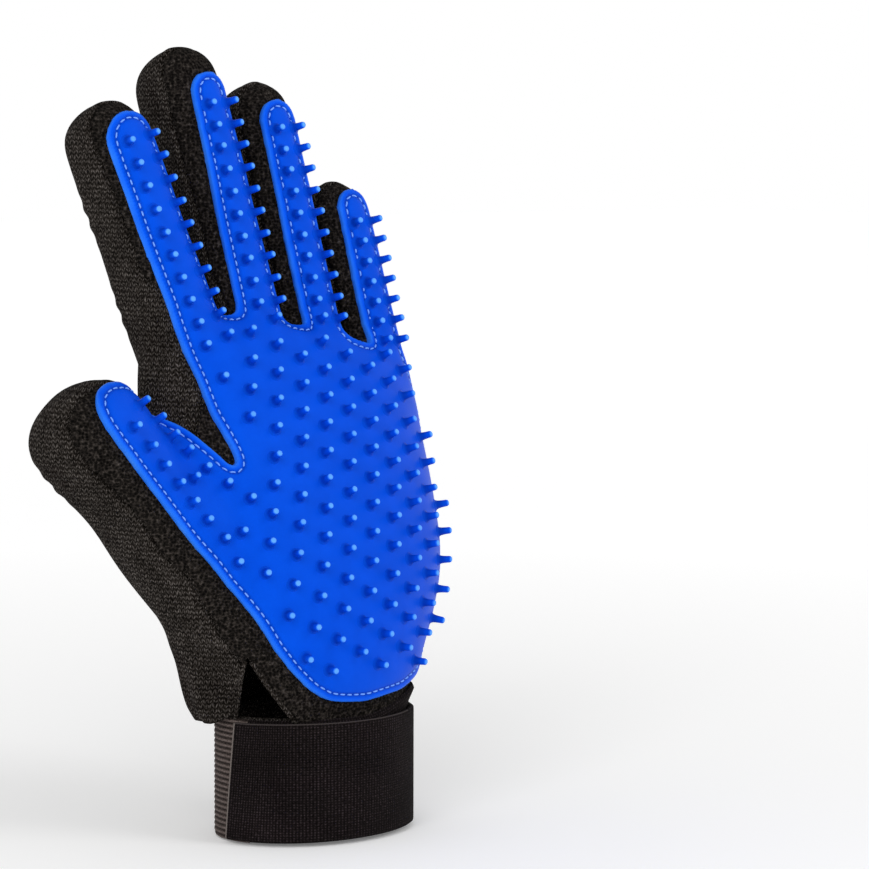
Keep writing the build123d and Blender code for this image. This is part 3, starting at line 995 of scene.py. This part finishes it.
def pad_height(depth):
    """The pad's section: a rounded flange, a sewn groove and the field inside it."""
    d = np.maximum(depth, 0)
    edge = RIM_H * np.sqrt(np.clip(1 - (1 - np.minimum(d / 1.3, 1)) ** 2, 0, 1))
    h = edge - 0.16 * smoothstep((d - 1.4) / 0.8)
    h -= 0.42 * bell(d - STITCH_IN, 0.42)
    return h + 0.10 * smoothstep((d - 3.3) / 1.3)


depth = sample(true_depth, flat)
pad_v = foot + up * (pad_height(depth) + PAD_LIFT)[:, None]
# the edge goes down into the fabric
boundary = dict.fromkeys((f[i], f[(i + 1) % 3]) for f in tri_faces for i in range(3))
border = [(a, b) for a, b in boundary if (b, a) not in boundary]
rim_ids = sorted({i for e in border for i in e})
low_id = {i: len(pad_v) + k for k, i in enumerate(rim_ids)}
low_v = foot[rim_ids] - up[rim_ids] * RIM_DOWN
pad_all = np.vstack([pad_v, low_v])
wall = [(b, a, low_id[a], low_id[b]) for a, b in border]
pad_faces = tri_faces + wall
pad_normal = vertex_normals(pad_all, pad_faces)
label = region_of(np.array([pad_all[list(f)].mean(axis=0) + INTO_GLOVE for f in pad_faces]))
# painted highlight along the pad's rim and painted shade in the sewn groove, carried by the level attribute
rim_highlight_groove_shade = 0.5 + 0.28 * bell(np.maximum(depth, 0), 1.5)
rim_highlight_groove_shade -= 0.3 * bell(depth - STITCH_IN, 0.5)
rim_highlight_groove_shade = np.concatenate([rim_highlight_groove_shade, np.full(len(low_v), 0.6)])
pad_pieces = split("pad", pad_all, pad_faces, pad_normal, label, RUBBER, "rubber_pad", rim_highlight_groove_shade)

# places for the pins
lookup = tree_of(foot, tri_faces)


def pad_place(q):
    """A point on the fabric under the pad and the pad's direction there, for a place in the palm's plane."""
    start = hand_point(q[0], q[1], FAR_IN_FRONT)
    hit = lookup.ray_cast(tuple(start), tuple(BACK))
    if hit[0] is None:
        hit = lookup.find_nearest(tuple(start + BACK * TO_PALM))
    f = tri_faces[hit[2]]
    direction = unit(up[list(f)].mean(axis=0))
    return np.array(hit[0]), direction


pin_spots = []
# rows, pitch, shift of a pair from the strip's middle, half of the pair's spacing, how far down they start
PIN_ROWS = {
    "index": (10, 7.4, 0.8, 3.9, 1.4), "middle": (10, 7.1, 0.9, 3.5, 3.0), "ring": (10, 6.9, 0.8, 3.3, 2.2),
    "little": (7, 6.5, 0.7, 3.2, 3.4),
}
for name in FINGERS:
    rows, pitch, shift, half, first = PIN_ROWS[name]
    p0, p1 = strip_line(name)
    line = unit(np.append(p1 - p0, 0))[:2]
    side = np.array([line[1], -line[0]])
    top = p1 + line * (STRIPS[name][1] - 8.0 - first)
    for row in range(rows):
        for k in (-1, 1):
            pin_spots.append(top - line * pitch * row + side * (shift + k * half))
THUMB_LOW, THUMB_PITCH = -38.0, 7.4
for row in range(7):  # two columns: one up the thumb, one beside the pad's inner edge
    for across, along in ((3.6, -3.6), (11.2 + 1.3 * (6 - row), -1.3)):
        x, _, z = to_hand(thumb.point(across, 0, THUMB_LOW + along + THUMB_PITCH * row))
        if sample(true_depth, np.array([[x, z]]))[0] > 3.2:
            pin_spots.append(np.array([x, z]))
taken = np.array(pin_spots)
PALM_PINS = (-4.0, 108)  # how low and how high they stand
COLUMN_PITCH, ROW_PITCH, COLUMN_LEAN = 8.9, 8.7, 0.30
FROM_RIM, FROM_PIN = 5.2, 6.0  # the least distance from the rim and from the other pins
for column in range(-9, 12):  # the palm's pins stand in columns that lean towards the little finger
    for row in range(-4, 14):
        height = -1.0 + (row + 0.5 * (column % 2)) * ROW_PITCH
        q = np.array([column * COLUMN_PITCH + COLUMN_LEAN * (height - 40), height])
        if sample(true_depth, q[None])[0] < FROM_RIM or not PALM_PINS[0] < q[1] < PALM_PINS[1]:
            continue
        if np.linalg.norm(taken - q, axis=1).min() >= FROM_PIN:
            pin_spots.append(q)

# height and radius of a pin 5 mm high
PIN_PROFILE = [(-0.35, 2.5), (0.02, 2.2), (0.2, 1.84), (0.5, 1.54), (1.0, 1.32), (2.0, 1.17), (3.2, 1.09),
               (4.0, 1.07), (4.45, 0.97), (4.75, 0.76), (4.93, 0.42), (5.0, 0.0)]
TURN = np.linspace(0, 2 * math.pi, 14, endpoint=False)


def pin_mesh(place, direction):
    """A moulded pin with a flared foot and a rounded tip."""
    right = unit(np.cross(direction, ALONG))
    ahead = np.cross(direction, right)
    verts = []
    for h, r in PIN_PROFILE[:-1]:
        up = direction * (h * PIN_UP / PIN_PROFILE[-1][0])
        verts += [place + up + right * r * math.cos(t) + ahead * r * math.sin(t) for t in TURN]
    n, rings = len(TURN), len(PIN_PROFILE) - 1
    last = (rings - 1) * n
    fan = [(last + k, last + (k + 1) % n, rings * n) for k in range(n)]
    return verts + [place + direction * PIN_UP], ring_faces(rings, n, capped=False) + fan


pins, pin_key = [], []
# painted shade round each pin's foot and a painted highlight on its tip
pin_tip_highlight_foot_shade = [0.5 - 0.28 * bell(h - 1.4, 1.3) + 0.42 * float(smoothstep((h - 4.0) / 0.9))
             for h, _ in PIN_PROFILE[:-1] for _ in TURN] + [0.92]
for q in pin_spots:
    place, direction = pad_place(q)
    d = float(sample(true_depth, np.array([q]))[0])
    place = place + direction * (float(pad_height(max(d, FIELD_DEPTH))) + PIN_LIFT)
    direction = unit(direction + 0.03 * rng.normal(size=3))
    pins.append(pin_mesh(place, direction))
    pin_key += list(region_of(place + INTO_GLOVE)) * len(pins[-1][1])
split("pins", *merged(pins), None, np.array(pin_key, dtype=object), RUBBER, "rubber_pad",
      np.tile(pin_tip_highlight_foot_shade, len(pin_spots)))


# -------- sewing thread
STITCH_PITCH, STITCH_SHARE, THREAD_RADIUS, THREAD_LIFT = 2.5, 0.70, 0.27, 0.37
# a stitch's sections: how far along it, share of the thread's radius, height in shares of the sag
STITCH_STOPS = ((0.0, 0.35, -1.0), (0.10, 0.85, -0.35), (0.3, 1.0, 0.1), (0.5, 1.0, 0.22),
                (0.7, 1.0, 0.1), (0.9, 0.85, -0.35), (1.0, 0.35, -1.0))


def stitch(a, b, up_dir, sides=6, sag=0.25):
    """One stitch: a short thread that dips into the pad at both ends."""
    along = unit(b - a)
    out = unit(up_dir - along * (up_dir @ along))
    across = np.cross(along, out)
    verts = []
    for t, r, h in STITCH_STOPS:
        c = a + (b - a) * t + out * (h * sag)
        for w in np.arange(sides) * (2 * math.pi / sides):
            verts.append(c + (across * math.cos(w) + out * math.sin(w)) * THREAD_RADIUS * r)
    return verts, ring_faces(len(STITCH_STOPS), sides)


stitches, stitch_key = [], []
level = float(pad_height(STITCH_IN)) + THREAD_LIFT
for line in contours(-true_depth, -STITCH_IN):
    if len(line) < 60:
        continue
    places, _ = resample(line, STITCH_PITCH)
    for p, q in zip(places, np.roll(places, -1, axis=0)):
        (pa, da), (pb, db) = pad_place(p), pad_place(p + (q - p) * STITCH_SHARE)
        stitches.append(stitch(pa + da * level, pb + db * level, unit(da + db)))
        stitch_key += list(region_of((pa + pb) / 2 + INTO_GLOVE)) * len(stitches[-1][1])
split("thread", *merged(stitches), None, np.array(stitch_key, dtype=object), THREAD, "rubber_pad")


# -------- cuff and closure
def band_point(turn, grow, z):
    """Points round the cuff, at degrees from its front and a distance off it."""
    t = np.radians(turn)
    return np.stack([-(CUFF_A + grow) * np.sin(t), -(CUFF_B + grow) * np.cos(t), z + 0 * t], axis=-1)


def rounding(run, thick):
    """How much of a band's half thickness is missing this far from its edge."""
    share = 1 - np.minimum(run / (thick / 2), 1)
    return thick / 2 * (1 - np.sqrt(np.clip(1 - share**2, 0, 1)))


def band(name, grow_in, grow_out, low, high, start, end, mat, slot_name, attach_to, turns=120, rows=40,
         relief=None, closed=False, wave=None, skew=None):
    """A curved band with thickness and rounded edges.

    relief gives extra height on its outside, wave moves it off the cuff, and skew moves its points along it.
    """
    turn = np.linspace(start, end, turns, endpoint=not closed)
    z = np.linspace(low, high, rows)
    tt, zz = np.meshgrid(turn, z, indexing="ij")
    unrolled = np.stack([tt * UNROLLED, 0 * tt, zz], axis=-1).reshape(-1, 3)
    thick = grow_out - grow_in
    ease = rounding(np.minimum(zz - low, high - zz), thick)
    if not closed:
        ease = np.maximum(ease, rounding(np.minimum(tt - start, end - tt) * UNROLLED, thick))
    shift = wave(tt, zz) if wave else 0 * tt
    if skew:
        tt, zz = skew(tt, zz)
    outer = band_point(tt, grow_out - ease + shift + (relief(tt, zz) if relief else 0), zz)
    inner = band_point(tt, grow_in + ease + shift, zz)
    n, m = tt.shape
    verts = np.vstack([outer.reshape(-1, 3), inner.reshape(-1, 3)])
    faces = []
    steps = n if closed else n - 1
    for i in range(steps):
        i2 = (i + 1) % n
        for j in range(m - 1):
            a, b, c, d = i * m + j, i2 * m + j, i2 * m + j + 1, i * m + j + 1
            faces.append((a, d, c, b))
            faces.append((a + n * m, b + n * m, c + n * m, d + n * m))
        faces.append((i * m, i2 * m, i2 * m + n * m, i * m + n * m))
        a, b = i * m + m - 1, i2 * m + m - 1
        faces.append((a, a + n * m, b + n * m, b))
    if not closed:
        for i, flip in ((0, False), (n - 1, True)):
            for j in range(m - 1):
                a, b = i * m + j, i * m + j + 1
                f = (a, a + n * m, b + n * m, b)
                faces.append(f[::-1] if flip else f)
    inside = unrolled + [0, 4.0, 0]
    return dress(new_object(name, verts, faces), np.vstack([unrolled, inside]), mat, attach_to)


def on_hand(obj):
    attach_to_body(obj, "hand")


def ribs(turn, z):
    """The elastic's ribs, which run round it and wander a little."""
    w = 0.5 + 0.5 * np.cos((z + RIB_SWAY * np.sin(np.radians(turn) * RIB_WAVES)) / RIB * 2 * math.pi)
    return 0.36 * (w ** 0.6 - 0.5)


# how high and how wide the bands are, in millimetres and degrees
BAND_HIGH, ELASTIC_TURN, LANDING_TURN = 38.0, (70, 290), (-72, 72)
STRAP_START, STRAP_END, STRAP_LOW, STRAP_HIGH = -112, 84, 1.0, 37.5
STRAP_OUT, STRAP_IN = 4.75, 2.95  # how far its faces stand off the cuff
elastic_obj = band("cuff_elastic", 0.05, 1.7, 0.0, BAND_HIGH, *ELASTIC_TURN, ELASTIC, "ribbed_elastic",
                   on_hand, 160, 190, ribs)


def corner_lift(turn, z):
    """How far the landing's top stands up towards its little-finger end, from 0 to 1."""
    return smoothstep((z - 30) / 8) * smoothstep((-turn - 4) / 58)


landing = band("loop_landing", 0.05, 1.6, 0.2, BAND_HIGH, *LANDING_TURN, PILE, "strap_pile", on_hand, 100, 40,
               wave=lambda t, z: 3.6 * corner_lift(t, z) ** 2,
               skew=lambda t, z: (t, z + 6.0 * corner_lift(t, z)))
lining = band("cuff_lining", -1.4, -0.1, 1.0, CUFF_HIGH - 1.5, 0, 360, LINING, "lining", on_hand, 120, 30,
              closed=True)


def strap_wave(turn, z):
    """The strap lies unevenly: it eases off the wrist a little towards its free end and its top."""
    free = smoothstep((turn - 60) / 34)
    return 0.35 * free + 0.25 * np.sin(np.radians(turn) * 4 + z * 0.05) * smoothstep((turn + 60) / 30)


def on_strap(obj):
    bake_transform(obj)


def on_free_end(obj):
    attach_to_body(obj, "strap")


def strap_skew(turn, z):
    """The free end is cut a little askew."""
    lean = 4 + 4 * (z - 19) / 18.5
    return turn - lean * smoothstep((turn - 40) / 40), z


strap_obj = band("strap", STRAP_IN, STRAP_OUT, STRAP_LOW, STRAP_HIGH, STRAP_START, STRAP_END, PILE,
                 "strap_pile", on_strap, 260, 60, wave=strap_wave, skew=strap_skew)
hook_obj = band("hook_patch", STRAP_IN - 0.95, STRAP_IN - 0.02, 3.0, 35.5, 36, 76, HOOK, "hook_tape",
                on_free_end, 60, 30, wave=lambda t, z: strap_wave(t, z) * 0.6)


def tube(name, line, radius, mat, attach_to, sides=8):
    """A thin round strand along a line of points."""
    verts = []
    for p, t in zip(line, np.gradient(line, axis=0)):
        t = unit(t)
        side = unit(np.cross(t, [0.31, 0.17, 0.94] if abs(t[2]) < 0.8 else [1.0, 0.1, 0]))
        other = np.cross(t, side)
        for k in range(sides):
            w = 2 * math.pi * k / sides
            verts.append(p + (side * math.cos(w) + other * math.sin(w)) * radius)
    verts = np.array(verts)
    piece = new_object(name, verts, ring_faces(len(line), sides))
    return dress(piece, verts, mat, attach_to)


def strap_edge(turn, z):
    """Points on the strap's outer face, just inside its rim."""
    t, height = strap_skew(turn, z)
    return band_point(t, STRAP_OUT - 0.35 + strap_wave(turn, z), height)


# painted highlight lines along the strap's end edge and its top edge
heights = np.linspace(STRAP_LOW + 0.3, STRAP_HIGH - 0.3, 40)
end_line = strap_edge(np.full(40, STRAP_END - 0.3), heights)
tube("strap_end_edge", end_line, 0.30, CUT_EDGE_HIGHLIGHT, on_free_end)
turns = np.linspace(-40, STRAP_END - 0.5, 120)
top_line = strap_edge(turns, np.full(120, STRAP_HIGH - 0.25))
tube("strap_top_edge", top_line, 0.20, DIM_EDGE_HIGHLIGHT, on_strap)


# rolled edges of the slit
skin_tree = tree_of(skin_v, skin_f)
for corner, label_name in ((SLIT_LEFT, "left"), (SLIT_RIGHT, "right")):
    line = []
    for k in np.linspace(0.0, 0.93, 26):
        across = corner + (SLIT_TIP[0] - corner) * k
        p = SLIT_FOOT + slit_side * across + np.array([0, 0, SLIT_TIP[1] * k])
        start = p + slit_out * 30 + slit_side * math.copysign(0.25, corner)
        near = skin_tree.ray_cast(tuple(start), tuple(-slit_out))[0]
        line.append(np.array(near or p))
    line = np.array(line)
    for _ in range(3):
        line[1:-1] = (line[:-2] + 2 * line[1:-1] + line[2:]) / 4
    tube(f"slit_{label_name}_roll", line, 0.75, KNIT, on_hand)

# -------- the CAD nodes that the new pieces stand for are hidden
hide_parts("back_panel", "index_side_wall", "thumb_side_wall", "web_index_middle",
            "web_middle_ring", "web_ring_little", "little_side_wall")
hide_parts("palm_panel")
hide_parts("palm_pad")
for name in (*FINGERS, "thumb"):
    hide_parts(f"{name}_back_base")
    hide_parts(f"{name}_back_tip", f"{name}_sides_tip")
    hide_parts(f"{name}_palm_base", f"{name}_sides_base")
    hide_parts(f"{name}_palm_tip")
    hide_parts(f"{name}_pad_base")
    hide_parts(f"{name}_pad_tip")
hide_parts("cuff_elastic")
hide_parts("loop_landing")
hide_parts("cuff_lining")
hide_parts("strap_panel", "strap_root")
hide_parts("hook_patch")

# -------- floor, light and camera
WIDE = 6000
corners = [(-WIDE, -WIDE, 0), (WIDE, -WIDE, 0), (WIDE, WIDE, 0), (-WIDE, WIDE, 0)]
floor = new_object("floor", corners, [(0, 1, 2, 3)], False)
floor.location.z = -0.0004  # just below the cuff's foot
floor.data.materials.append(material("floor_paint", (0.97, 0.97, 0.97), 0.9, far_glow,
                                     Specular_IOR_Level=0.0, Emission_Strength=1.0))

bpy.context.scene.view_settings.view_transform = "Standard"
world = bpy.data.worlds.new("studio")
bpy.context.scene.world = world
world.use_nodes = True
sky = Look(world.node_tree)
up_there = sky.axes(sky.node("ShaderNodeTexCoord").outputs["Generated"])["Z"]
WHITE, GREY = (1.0, 1.0, 1.0), (0.45, 0.45, 0.45)
glow = sky.ramp(up_there, [(0.0, WHITE), (0.30, WHITE), (0.60, GREY), (1.0, GREY)])
sky.feed(world.node_tree.nodes["Background"].inputs["Color"], glow)


def area_light(name, place, target, size, power):
    """A square light that faces a target, in metres and watts."""
    data = bpy.data.lights.new(name, "AREA")
    data.energy, data.size = power, size
    obj = bpy.data.objects.new(name, data)
    bpy.context.scene.collection.objects.link(obj)
    obj.location = place
    obj.rotation_euler = (Vector(target) - Vector(place)).to_track_quat("-Z", "Y").to_euler()


PALM_MIDDLE = (0, 0, 0.13)
area_light("key", (-0.95, -0.75, 0.85), PALM_MIDDLE, 0.8, 6.5)
area_light("front", (0.55, -1.1, 0.95), PALM_MIDDLE, 0.6, 3.6)

# the camera: 38 degrees to the thumb's side, 5 degrees above, 1.1 m away
AZIMUTH, ELEVATION, DISTANCE = math.radians(-38), math.radians(5), 1.1
target = Vector((0, 0, 0.122))
toward = Vector((math.sin(AZIMUTH) * math.cos(ELEVATION), -math.cos(AZIMUTH) * math.cos(ELEVATION),
                 math.sin(ELEVATION)))
cam_data = bpy.data.cameras.new("camera")
cam = bpy.data.objects.new("camera", cam_data)
bpy.context.scene.collection.objects.link(cam)
cam.location = target + toward * DISTANCE
cam.rotation_euler = (-toward).to_track_quat("-Z", "Y").to_euler()
cam_data.sensor_width = 36.0
cam_data.lens = 147.64557
cam_data.clip_end = 50
cam_data.shift_x, cam_data.shift_y = 0.143268, 0.0031348
bpy.context.scene.camera = cam
